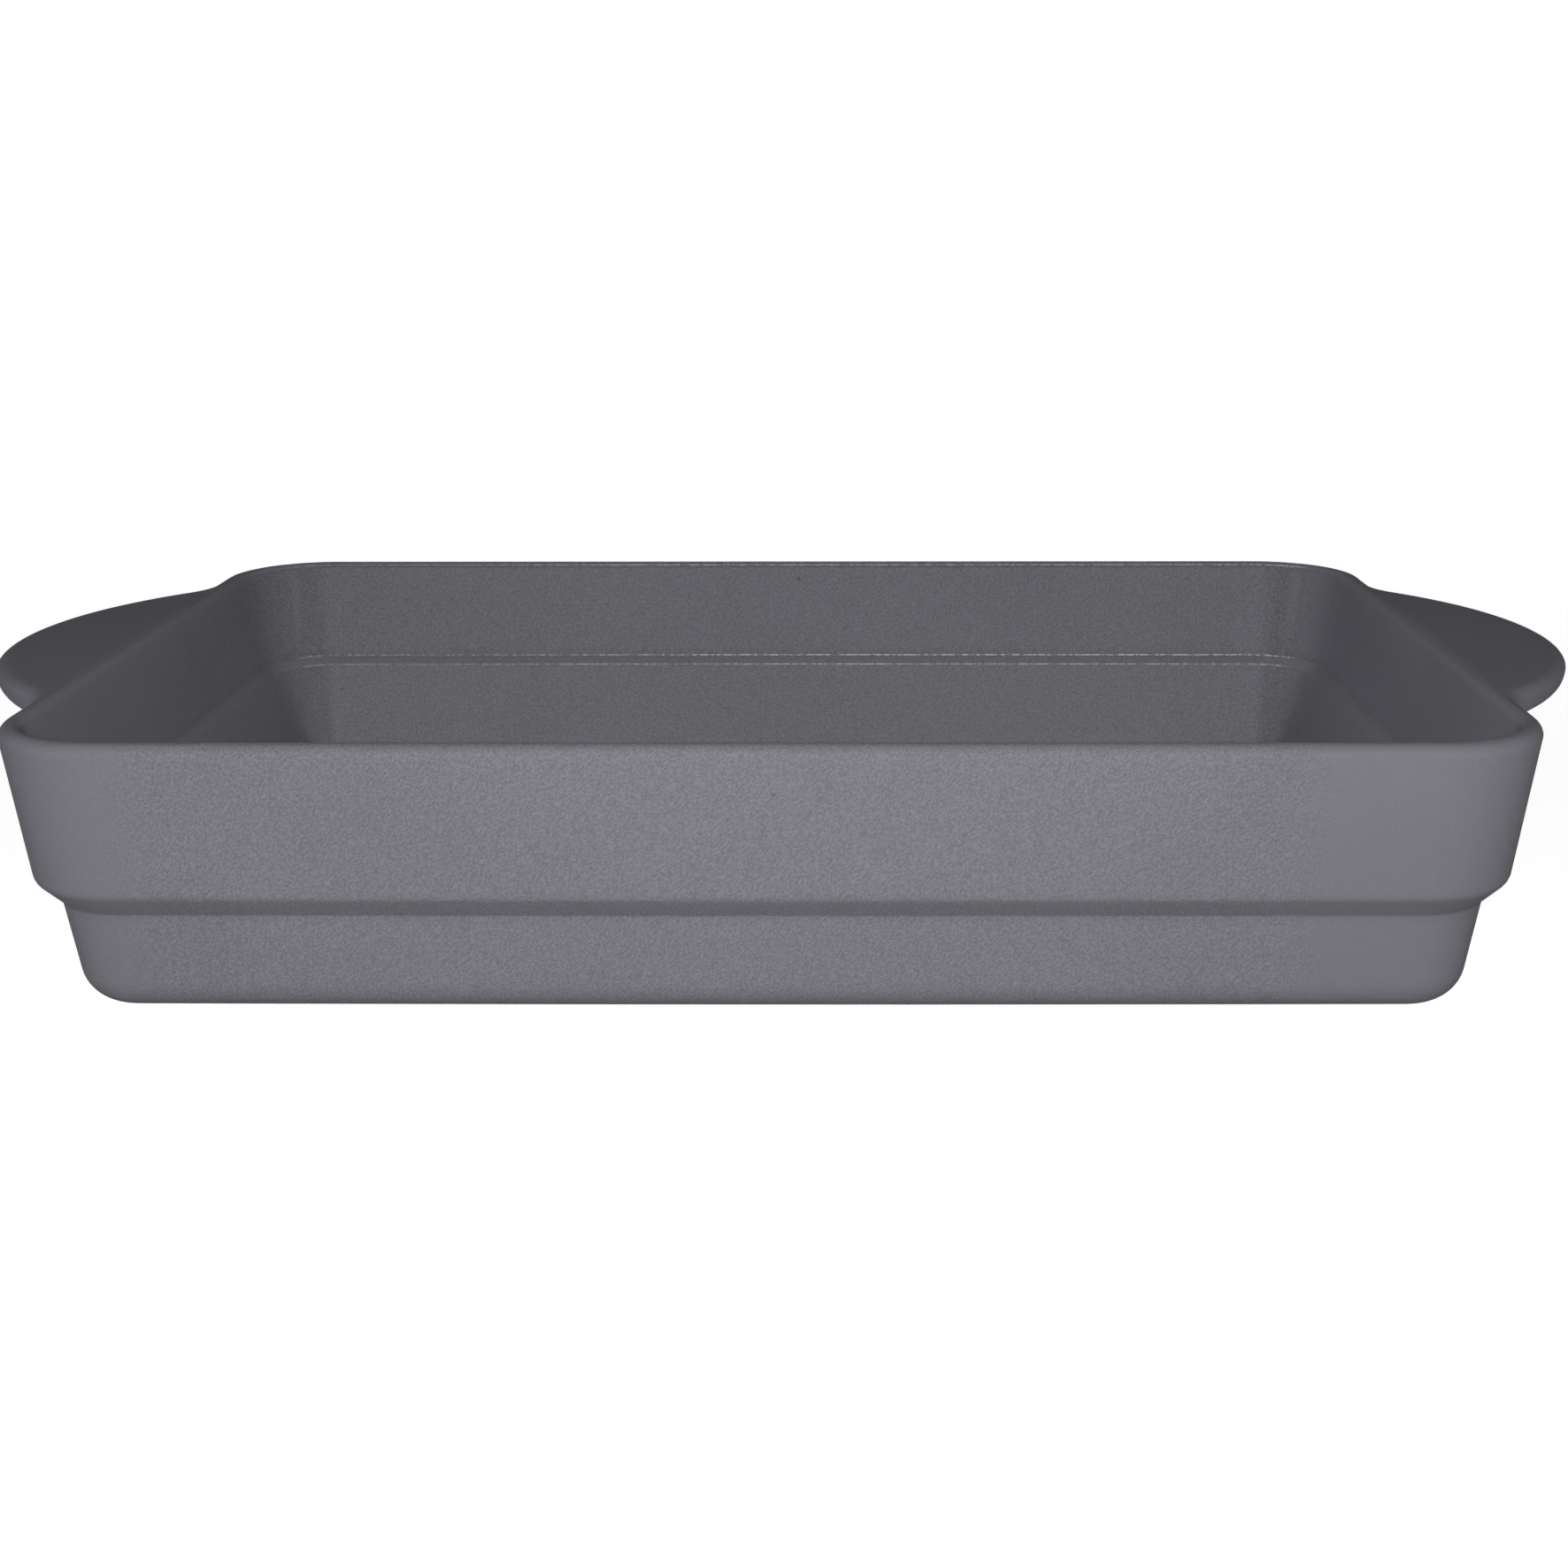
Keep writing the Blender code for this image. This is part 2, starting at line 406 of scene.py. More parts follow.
class Bench:
    """A mesh under the modeller's hand: edit-mode tools that act on its open cap."""

    def __init__(self, name: str) -> None:
        """Start with nothing on the bench.

        Args:
            name: The finished piece's name.
        """
        self.name = name
        self.item: bpy.types.Object | None = None

    @property
    def mesh(self) -> bpy.types.Mesh:
        """The piece's mesh."""
        return self.item.data

    def lay_plate(self, length: float, width: float, height: float) -> None:
        """Add a flat plate at its size and place, and go into edit mode.

        Args:
            length: Its size along X.
            width: Its size along Y.
            height: Its height.
        """
        bpy.ops.object.select_all(action="DESELECT")
        bpy.ops.mesh.primitive_plane_add(size=1.0, location=(0.0, 0.0, height * MM))
        self.item = bpy.context.object
        self.item.name = self.name
        self.mesh.name = self.name
        self.item.scale = (length * MM, width * MM, 1.0)
        bpy.ops.object.transform_apply(location=True, rotation=True, scale=True)
        bpy.ops.object.mode_set(mode="EDIT")
        bpy.context.tool_settings.mesh_select_mode = (True, True, True)

    def leave(self) -> bpy.types.Object:
        """Go back to object mode and hand over the piece."""
        bpy.ops.object.mode_set(mode="OBJECT")
        return self.item

    def cap(self) -> int:
        """Find the one selected face.

        Returns:
            Its index.
        """
        shape = bmesh.from_edit_mesh(self.mesh)
        shape.faces.index_update()
        return next(face.index for face in shape.faces if face.select)

    def pick_cap(self) -> None:
        """Select the face with the most corners of those that look straight up."""
        bpy.ops.mesh.select_all(action="DESELECT")
        shape = bmesh.from_edit_mesh(self.mesh)
        level = [face for face in shape.faces if face.normal.z > LEVEL]
        max(level, key=lambda face: len(face.verts)).select_set(True)
        bmesh.update_edit_mesh(self.mesh)

    def look_down(self) -> None:
        """Turn a lone face so that it looks down, and select it."""
        bpy.ops.mesh.select_all(action="SELECT")
        shape = bmesh.from_edit_mesh(self.mesh)
        shape.normal_update()
        if any(face.normal.z > 0.0 for face in shape.faces):
            bpy.ops.mesh.flip_normals()

    def pick_edges(self, wanted: Callable[[Vector, Vector], bool]) -> None:
        """Select edges by the places of their ends, in millimetres.

        Args:
            wanted: Test on an edge's two ends.
        """
        bpy.ops.mesh.select_all(action="DESELECT")
        shape = bmesh.from_edit_mesh(self.mesh)
        for edge in shape.edges:
            if wanted(edge.verts[0].co / MM, edge.verts[1].co / MM):
                edge.select_set(True)
        bmesh.update_edit_mesh(self.mesh)

    def step(self, inward: float, along: float) -> None:
        """Inset the selected cap and move it along its normal, both in millimetres."""
        bpy.ops.mesh.inset(
            thickness=max(inward, 0.0) * MM,
            depth=along * MM,
            use_even_offset=True,
            use_boundary=True,
        )

    def with_cap_points(self, wanted: Callable[[Vector], bool], action: Callable[[], None]) -> None:
        """Act on some of the cap's points, then select the whole cap again.

        Args:
            wanted: Test on a point, in millimetres.
            action: What is done to the points while they alone are selected.
        """
        index = self.cap()
        shape = bmesh.from_edit_mesh(self.mesh)
        shape.faces.ensure_lookup_table()
        chosen = [point for point in shape.faces[index].verts if wanted(point.co / MM)]
        bpy.ops.mesh.select_all(action="DESELECT")
        bpy.context.tool_settings.mesh_select_mode = (True, False, False)
        for point in chosen:
            point.select_set(True)
        bmesh.update_edit_mesh(self.mesh)
        if chosen:
            action()
        bpy.context.tool_settings.mesh_select_mode = (True, True, True)
        bpy.ops.mesh.select_all(action="DESELECT")
        shape = bmesh.from_edit_mesh(self.mesh)
        shape.faces.ensure_lookup_table()
        shape.faces[index].select_set(True)
        bmesh.update_edit_mesh(self.mesh)


@dataclass(frozen=True)
class MaskSizes:
    """Where each mask lies. A pair is where its ramp starts and how wide it is: tilts are parts
    of a unit normal, curvatures are in 1/mm, and depths in mm."""

    lip_tilt: float = 0.68
    lip_spread: float = 0.3
    lip_depth: float = 3.0
    tight: Point = (0.6, 0.3)
    backward: Point = (0.45, 0.4)
    sloping: Point = (0.4, 0.2)
    hollow: Point = (0.06, 0.4)
    floor_margin: float = 1.0
    foot_film: float = 0.02
    shortest_edge: float = 0.1


@dataclass
class DishBody:
    """The whole glazed body: tray, rim and both handles in one skin.

    The outer wall starts the join below the last ring of the handles, and the inner one the skip
    inside the last ring of the rim's top. The foot's corners are walked in until the least
    corner is left, and the closing is the width of the last ring of each flat face. The pulls
    move the three columns of a B-spline cage so that the ends stay and the middle moves by 1.
    """

    wall: WallSizes = field(default_factory=WallSizes)
    handle: HandleSizes = field(default_factory=HandleSizes)
    masks: MaskSizes = field(default_factory=MaskSizes)
    corner_steps: int = 16
    long_columns: int = 47
    top_rings: int = 7
    top_creep: float = 0.06
    join: float = 0.5
    skip: float = 0.2
    least_corner: float = 1.2
    closing: float = 14.0
    middle_pull: float = 5.0 / 3.0
    end_pull: float = -1.0 / 3.0
    name: str = "glazed_dish"

    @property
    def straight(self) -> float:
        """Half the length of a short side between its round corners."""
        return self.wall.width / 2 - self.wall.corner

    def build(self) -> bpy.types.Object:
        """Model the body.

        Returns:
            The finished object, at the origin.
        """
        bench = Bench(self.name)
        self.draw_outline(bench)
        self.walk_down(bench)
        self.close_top(bench)
        self.walk_inside(bench)
        bpy.ops.mesh.select_all(action="SELECT")
        bpy.ops.mesh.normals_make_consistent(inside=False)
        item = bench.leave()
        self.bow_long_sides(item)
        pick_alone(item)
        bpy.ops.object.shade_smooth()
        self.mark(item)
        return item

    def draw_outline(self, bench: Bench) -> None:
        """Shape the plate's edge: round corners, columns along the sides, and both handles.

        Args:
            bench: The bench, with nothing on it yet.
        """
        half_length = self.wall.length / 2
        half_width = self.wall.width / 2
        bench.lay_plate(self.wall.length, self.wall.width, self.wall.widest_height)
        bpy.ops.mesh.select_all(action="SELECT")
        bpy.ops.mesh.bevel(
            offset=self.wall.corner * MM,
            offset_type="OFFSET",
            segments=self.corner_steps,
            affect="VERTICES",
        )
        bpy.ops.mesh.select_all(action="SELECT")
        bpy.ops.mesh.delete(type="ONLY_FACE")
        bench.pick_edges(
            lambda a, b: abs(a.x - b.x) < TOUCH and abs(abs(a.x) - half_length) < TOUCH
        )
        bpy.ops.mesh.subdivide(number_cuts=self.handle.columns)
        bench.pick_edges(
            lambda a, b: abs(a.y - b.y) < TOUCH and abs(abs(a.y) - half_width) < TOUCH
        )
        bpy.ops.mesh.subdivide(number_cuts=self.long_columns)
        bpy.ops.mesh.select_all(action="SELECT")
        bpy.ops.mesh.edge_face_add()
        bench.look_down()
        gap = 2.0 * self.straight / (self.handle.columns + 1)
        for side in Side:
            end = side.value * half_length
            for column in range(1, self.handle.columns + 1):
                y = column * gap - self.straight
                out = self.handle.outline(y)
                if out > 0.0:
                    shift = (side.value * out * MM, 0.0, 0.0)
                    bench.with_cap_points(
                        lambda p: abs(p.y - y) < gap / 4 and abs(p.x - end) < TOUCH,
                        lambda: bpy.ops.transform.translate(value=shift),
                    )

    def close_top(self, bench: Bench) -> None:
        """Close the open outline with a cap that looks up.

        Args:
            bench: The bench with the outside done.
        """
        bpy.ops.mesh.select_all(action="DESELECT")
        bpy.ops.mesh.select_non_manifold()
        bpy.ops.mesh.edge_face_add()
        bench.pick_cap()

    def squeeze_handles(self, bench: Bench, line: float, share: float) -> None:
        """Bring the cap's handle columns towards the wall's line.

        Args:
            bench: The bench with the cap selected.
            line: Distance of the wall's line from the middle of the dish.
            share: How much of the handles' present reach is kept.
        """
        for side in Side:
            centre = (side.value * line * MM, 0.0, 0.0)
            bench.with_cap_points(
                lambda p: p.x * side.value > line + HAIR and abs(p.y) < self.straight,
                lambda: bpy.ops.transform.resize(value=(share, 1.0, 1.0), center_override=centre),
            )

    def walk(self, bench: Bench, start: Station, stations: list[Station], downward: bool) -> Station:
        """Add one ring for each station.

        Args:
            bench: The bench with the cap selected.
            start: Where the cap stands now.
            stations: Where it goes.
            downward: True if the cap's normal looks down.

        Returns:
            The last station.
        """
        now = start
        for station in stations:
            drop = station.height - now.height
            bench.step(station.inset - now.inset, -drop if downward else drop)
            if now.reach > 0.0 and station.reach < now.reach:
                line = self.wall.length / 2 - station.inset
                self.squeeze_handles(bench, line, station.reach / now.reach)
            now = station
        return now

    def walk_down(self, bench: Bench) -> None:
        """Shape the handles' undersides, the stepped outer wall and the foot.

        Args:
            bench: The bench with the outline's face selected, which looks down.
        """
        wall = self.wall
        start = Station(0.0, wall.widest_height, 1.0)
        last = self.walk(bench, start, self.handle.underside(wall), downward=True)
        top = last.height - self.join
        rest = [Station(inset, height) for inset, height in wall.outer() if height < top]
        last = self.walk(bench, last, rest, downward=True)
        foot_corner = wall.corner - last.inset - self.least_corner
        last = self.walk(bench, last, [Station(last.inset + foot_corner, 0.0)], downward=True)
        inner_edge = rest[-1].inset + wall.foot_width
        recess = inner_edge + wall.foot_height / 2
        self.shrink(bench, last.inset, inner_edge, 0.0)
        self.shrink(bench, inner_edge, recess, wall.foot_height)
        self.shrink(bench, recess, inner_edge + self.closing, 0.0)

    def walk_inside(self, bench: Bench) -> None:
        """Shape the rounded rim, the handles' tops, the ledge and the floor.

        Args:
            bench: The bench with the upper cap selected.
        """
        wall = self.wall
        last = Station(0.0, wall.widest_height, 1.0)
        softer = (self.handle.upper_round / wall.rim_outer_round - 1.0) / self.handle.reach
        rounding = []
        for inset, height in wall.rounding():
            rounding.append(Station(inset, height, 1.0 - inset * softer))
        last = self.walk(bench, last, rounding, downward=False)
        top = []
        for step in range(1, self.top_rings + 1):
            kept = last.reach * (1.0 - step / self.top_rings)
            top.append(Station(last.inset + self.top_creep * step, wall.height, kept))
        last = self.walk(bench, last, top, downward=False)
        edge = last.inset + self.skip
        inner = [Station(inset, height) for inset, height in wall.inner() if inset > edge]
        last = self.walk(bench, last, inner, downward=False)
        self.shrink(bench, last.inset, last.inset + self.closing, 0.0)

    def shrink(self, bench: Bench, inset: float, new_inset: float, rise: float) -> None:
        """Add a ring by extruding the cap and scaling it about the middle of the dish.

        Args:
            bench: The bench with the cap selected.
            inset: The cap's present inset.
            new_inset: Its next inset.
            rise: How far it moves up.
        """
        along = (self.wall.length / 2 - new_inset) / (self.wall.length / 2 - inset)
        across = (self.wall.width / 2 - new_inset) / (self.wall.width / 2 - inset)
        bpy.ops.mesh.extrude_region_move(TRANSFORM_OT_translate={"value": (0.0, 0.0, rise * MM)})
        bpy.ops.transform.resize(value=(along, across, 1.0), center_override=(0.0, 0.0, 0.0))

    def bow_long_sides(self, item: bpy.types.Object) -> None:
        """Bow the long sides outwards with a lattice, more at the base than at the rim.

        Args:
            item: The body.
        """
        wall = self.wall
        cage = bpy.data.lattices.new("bow_cage")
        cage.points_u, cage.points_v, cage.points_w = 3, 2, 2
        cage.interpolation_type_u = "KEY_BSPLINE"
        cage.interpolation_type_v = "KEY_LINEAR"
        cage.interpolation_type_w = "KEY_LINEAR"
        holder = bpy.data.objects.new("bow_cage", cage)
        bpy.context.scene.collection.objects.link(holder)
        holder.location = (0.0, 0.0, wall.height / 2 * MM)
        holder.scale = (wall.length * MM, wall.width * MM, wall.height * MM)
        for point in cage.points:
            bow = wall.rim_bow if point.co.z > 0 else wall.base_bow
            pull = self.middle_pull if abs(point.co.x) < SLIVER else self.end_pull
            point.co_deform.y += math.copysign(pull * bow / wall.width, point.co.y)
        bending = item.modifiers.new("bow", "LATTICE")
        bending.object = holder
        bpy.context.view_layer.update()
        pick_alone(item)
        bpy.ops.object.modifier_apply(modifier=bending.name)
        bpy.data.objects.remove(holder)

    def mark(self, item: bpy.types.Object) -> None:
        """Give the mesh the values that its glaze reads: where glints are painted on edges,
        how far the inner corners turn, hollows for painted shade, and the foot.

        Args:
            item: The body.
        """
        mesh = item.data
        sizes = self.masks
        place = triples(mesh.vertices, "co") / MM
        normal = triples(mesh.vertex_normals, "vector")
        bend = self.bend_at_vertices(mesh, place, normal)
        height = place[:, 2]
        up = normal[:, 2]
        level = np.maximum(np.hypot(normal[:, 0], normal[:, 1]), SLIVER)
        inward = -(normal[:, 0] * place[:, 0] + normal[:, 1] * place[:, 1]) > 0.0
        inside = inward & (height > self.wall.floor_height + sizes.floor_margin)
        lip = 1.0 - ramp(np.abs(up - sizes.lip_tilt), 0.0, sizes.lip_spread)
        lip *= height > self.wall.height - sizes.lip_depth
        tight = ramp(np.abs(bend), *sizes.tight) * (height > self.wall.shoulder_height)
        back = ramp(-normal[:, 1] / level, *sizes.backward)
        turn = np.degrees(np.arctan2(np.abs(normal[:, 1]), np.abs(normal[:, 0]))) / 90.0
        steep = 1.0 - ramp(np.abs(up), *sizes.sloping)
        values = {
            # Painted glints go on tight or half-up inner edges that face -Y, toward the key lamp,
            # above the floor.
            Mask.EDGE: np.maximum(lip, tight) * back * inside,
            Mask.CORNER: turn * steep * inside,
            # Painted shade in hollows, where the surface curves inward.
            Mask.HOLLOW: ramp(bend, *sizes.hollow),
            Mask.FOOT: height < sizes.foot_film,
        }
        for mask, value in values.items():
            layer = mesh.attributes.new(mask.value, "FLOAT", "POINT")
            layer.data.foreach_set("value", value.astype(np.float32))

    def bend_at_vertices(
        self, mesh: bpy.types.Mesh, place: np.ndarray, normal: np.ndarray
    ) -> np.ndarray:
        """Measure how sharply the surface turns at each vertex.

        Args:
            mesh: The body's mesh.
            place: Its vertices, in millimetres.
            normal: Their normals.

        Returns:
            The strongest curvature at each vertex, in 1/mm, positive in a hollow.
        """
        ends = np.empty(len(mesh.edges) * 2, dtype=np.int64)
        mesh.edges.foreach_get("vertices", ends)
        ends = ends.reshape(-1, 2)
        ends = np.vstack([ends, ends[:, ::-1]])
        reach = place[ends[:, 1]] - place[ends[:, 0]]
        square = (reach ** 2).sum(axis=1)
        curve = 2.0 * (normal[ends[:, 0]] * reach).sum(axis=1) / np.maximum(square, SLIVER)
        curve[square < self.masks.shortest_edge ** 2] = 0.0
        most = np.zeros(len(place))
        least = np.zeros(len(place))
        np.maximum.at(most, ends[:, 0], curve)
        np.minimum.at(least, ends[:, 0], curve)
        return np.where(most > -least, most, least)


def link_math(tree: Tree, operation: str, *values: Socket | float) -> Socket:
    """Add a Math node.

    Args:
        tree: The node tree.
        operation: The node's operation.
        values: Sockets or numbers for its inputs.

    Returns:
        The node's output.
    """
    node = tree.nodes.new("ShaderNodeMath")
    node.operation = operation
    for place, value in enumerate(values):
        if isinstance(value, Socket):
            tree.links.new(value, node.inputs[place])
        else:
            node.inputs[place].default_value = value
    return node.outputs[0]


def link_range(tree: Tree, value: Socket, start: Point, end: Point, eased: bool = True) -> Socket:
    """Add a Map Range node that keeps to its ends.

    Args:
        tree: The node tree.
        value: The socket to map.
        start: The range that it comes in.
        end: The range that it goes out in.
        eased: True to start and stop gently.

    Returns:
        The node's output.
    """
    node = tree.nodes.new("ShaderNodeMapRange")
    node.interpolation_type = "SMOOTHSTEP" if eased else "LINEAR"
    node.inputs["From Min"].default_value, node.inputs["From Max"].default_value = start
    node.inputs["To Min"].default_value, node.inputs["To Max"].default_value = end
    tree.links.new(value, node.inputs["Value"])
    return node.outputs["Result"]


def object_place(tree: Tree) -> Socket:
    """Add a node that reads the place on the object, in metres."""
    return tree.nodes.new("ShaderNodeTexCoord").outputs["Object"]


def object_axes(tree: Tree) -> bpy.types.NodeOutputs:
    """Add nodes that read the place on the object along each axis.

    Args:
        tree: The node tree.

    Returns:
        The outputs X, Y and Z, in metres.
    """
    parts = tree.nodes.new("ShaderNodeSeparateXYZ")
    tree.links.new(object_place(tree), parts.inputs[0])
    return parts.outputs


def open_group(
    name: str, inputs: dict[str, float], outputs: tuple[str, ...]
) -> tuple[Tree, Node, Node]:
    """Start a node group with number sockets.

    Args:
        name: The group's name.
        inputs: Names of the inputs with their usual values.
        outputs: Names of the outputs.

    Returns:
        The group with its input and output nodes.
    """
    tree = bpy.data.node_groups.new(name, "ShaderNodeTree")
    for label, value in inputs.items():
        socket = tree.interface.new_socket(label, in_out="INPUT", socket_type="NodeSocketFloat")
        socket.default_value = value
    for label in outputs:
        tree.interface.new_socket(label, in_out="OUTPUT", socket_type="NodeSocketFloat")
    return tree, tree.nodes.new("NodeGroupInput"), tree.nodes.new("NodeGroupOutput")


@dataclass(frozen=True)
class GlazeNodes:
    """Node groups for the glaze: its pebbled grain, its iron specks, painted glints along edges,
    painted shade in the inner corners, and its drifting tone. Sizes of features are in millimetres
    and places on the dish in metres.
    """

    grain_size: float = 0.32
    grain_warp: float = 0.6
    grain_stretch: float = 2.2
    grain_slant: float = -45.0
    grain_band: Point = (0.25, 0.75)
    dimple_size: float = 2.6
    dimple_warp: float = 0.3
    dimple_depth: float = 0.8
    rough_middle: float = -0.0105
    rough_skew: float = -0.2
    rough_end: Point = (0.141, 0.157)
    smooth_share: float = 0.2
    speck_grid: float = 70.0
    speck_radius: float = 0.45
    speck_share: float = 0.12
    speck_least: float = 0.4
    speck_edge: Point = (0.6, 1.2)
    # Painted glints: pale lines along the inner edges and down the inner corners, broken into dashes.
    glint_band: Point = (0.6, 0.97)
    corner_turn: float = 0.62
    corner_width: Point = (0.01, 0.07)
    corner_glint: float = 0.04
    corner_height: Point = (0.036, 0.052)
    dash_size: float = 1.2
    dash_warp: float = 0.2
    dash_band: Point = (0.4, 0.6)
    dash_least: float = 0.15
    dash_growth: Point = (-0.12, -0.02)
    dash_left: float = 0.45
    # Painted shade over the inner corners' turn.
    shade_start: Point = (0.0, 0.2)
    shade_end: Point = (0.75, 0.97)
    drift_size: float = 45.0
    drift_band: Point = (0.3, 0.7)

    def noise(
        self, tree: Tree, size: float, detail: float, warp: float, stretch: float = 1.0
    ) -> Socket:
        """Add a noise on Object coordinates.

        Args:
            tree: The node tree.
            size: The size of its features, in millimetres.
            detail: Its octaves.
            warp: Its distortion.
            stretch: How far its features are drawn out along a rising diagonal of the wall.

        Returns:
            The noise's value.
        """
        slant = tree.nodes.new("ShaderNodeMapping")
        slant.vector_type = "TEXTURE"
        slant.inputs["Rotation"].default_value = (0.0, math.radians(self.grain_slant), 0.0)
        slant.inputs["Scale"].default_value = (stretch, 1.0, 1.0)
        noise = tree.nodes.new("ShaderNodeTexNoise")
        noise.inputs["Scale"].default_value = 1.0 / (size * MM)
        noise.inputs["Detail"].default_value = detail
        noise.inputs["Distortion"].default_value = warp
        tree.links.new(object_place(tree), slant.inputs["Vector"])
        tree.links.new(slant.outputs["Vector"], noise.inputs["Vector"])
        return noise.outputs["Fac"]

    def grain(self) -> Tree:
        """Fine pebbled grain over a weaker, wider dimpling, smoother towards the handles.

        Returns:
            The group: Height is the relief, and Tone runs from -1 to 1.
        """
        tree, _, leave = open_group("pebbled_grain", {}, ("Height", "Tone"))
        fine = self.noise(tree, self.grain_size, 0.0, self.grain_warp, self.grain_stretch)
        wide = self.noise(tree, self.dimple_size, 1.0, self.dimple_warp)
        axes = object_axes(tree)
        off_middle = link_math(tree, "SUBTRACT", axes["X"], self.rough_middle)
        along = link_math(tree, "ABSOLUTE", off_middle)
        skewed = link_math(tree, "MULTIPLY_ADD", axes["Y"], self.rough_skew, along)
        rough = link_range(tree, skewed, self.rough_end, (1.0, self.smooth_share))
        tone = link_range(tree, fine, self.grain_band, (-1.0, 1.0))
        pebbles = link_math(tree, "MULTIPLY", fine, rough)
        dimples = link_math(tree, "MULTIPLY", wide, self.dimple_depth)
        tree.links.new(link_math(tree, "ADD", pebbles, dimples), leave.inputs["Height"])
        tree.links.new(link_math(tree, "MULTIPLY", tone, rough), leave.inputs["Tone"])
        return tree

    def specks(self) -> Tree:
        """Sparse dark iron specks.

        Returns:
            The group: Speck is 1 on a speck and 0 elsewhere.
        """
        inputs = {"Radius": self.speck_radius, "Share": self.speck_share}
        tree, entry, leave = open_group("iron_specks", inputs, ("Speck",))
        cells = tree.nodes.new("ShaderNodeTexVoronoi")
        cells.inputs["Scale"].default_value = self.speck_grid
        tree.links.new(object_place(tree), cells.inputs["Vector"])
        chance = tree.nodes.new("ShaderNodeSeparateColor")
        tree.links.new(cells.outputs["Color"], chance.inputs[0])
        chosen = link_math(tree, "LESS_THAN", chance.outputs[0], entry.outputs["Share"])
        grown = link_math(tree, "ADD", chance.outputs[1], self.speck_least)
        radius = link_math(tree, "MULTIPLY", entry.outputs["Radius"], grown)
        cell = 1.0 / (self.speck_grid * MM)
        distance = link_math(tree, "MULTIPLY", cells.outputs["Distance"], cell)
        reach = link_math(tree, "DIVIDE", distance, radius)
        spot = link_range(tree, reach, self.speck_edge, (1.0, 0.0))
        tree.links.new(link_math(tree, "MULTIPLY", spot, chosen), leave.inputs["Speck"])
        return tree

    def flow(self) -> Tree:
        """Painted glints as broken pale lines on the inner edges, and painted shade in the inner
        corners.

        Returns:
            The group: its first output is the share of the painted glints' pale colour, and its
                second
            the share of the painted corner shade.
        """
        inputs = {"Edge": 0.0, "Corner": 0.0, "Corner Turn": self.corner_turn}
        tree, entry, leave = open_group("painted_glints_and_corner_shade", inputs, ("Glint", "Corner Shade"))
        turned = entry.outputs["Corner"]
        axes = object_axes(tree)

        # Painted glint: a soft pale line down each inner corner, at one turn and above one height.
        past = link_math(tree, "SUBTRACT", turned, entry.outputs["Corner Turn"])
        off = link_math(tree, "ABSOLUTE", past)
        line = link_range(tree, off, self.corner_width, (self.corner_glint, 0.0))
        high = link_range(tree, axes["Z"], self.corner_height, (0.0, 1.0))
        corner = link_math(tree, "MULTIPLY", line, high)

        # Painted glints along the inner edges, broken into dashes and weaker towards -X.
        edge = link_range(tree, entry.outputs["Edge"], self.glint_band, (0.0, 1.0))
        dashes = self.noise(tree, self.dash_size, 2.0, self.dash_warp)
        broken = link_range(tree, dashes, self.dash_band, (self.dash_least, 1.0))
        dashed = link_math(tree, "MULTIPLY", edge, broken)
        right = link_range(tree, axes["X"], self.dash_growth, (self.dash_left, 1.0))
        dashed = link_math(tree, "MULTIPLY", dashed, right)
        tree.links.new(link_math(tree, "MAXIMUM", dashed, corner), leave.inputs["Glint"])

        # Painted shade over the middle of each inner corner's turn.
        begun = link_range(tree, turned, self.shade_start, (0.0, 1.0))
        corner_fade = link_range(tree, turned, self.shade_end, (1.0, 0.0))
        tree.links.new(link_math(tree, "MULTIPLY", begun, corner_fade), leave.inputs["Corner Shade"])
        return tree

    def drift(self) -> Tree:
        """Slow drift of the glaze's tone over the body.

        Returns:
            The group: Drift runs from -1 to 1.
        """
        tree, _, leave = open_group("drifting_tone", {}, ("Drift",))
        slow = self.noise(tree, self.drift_size, 2.0, 0.0)
        drift = link_range(tree, slow, self.drift_band, (-1.0, 1.0))
        tree.links.new(drift, leave.inputs["Drift"])
        return tree


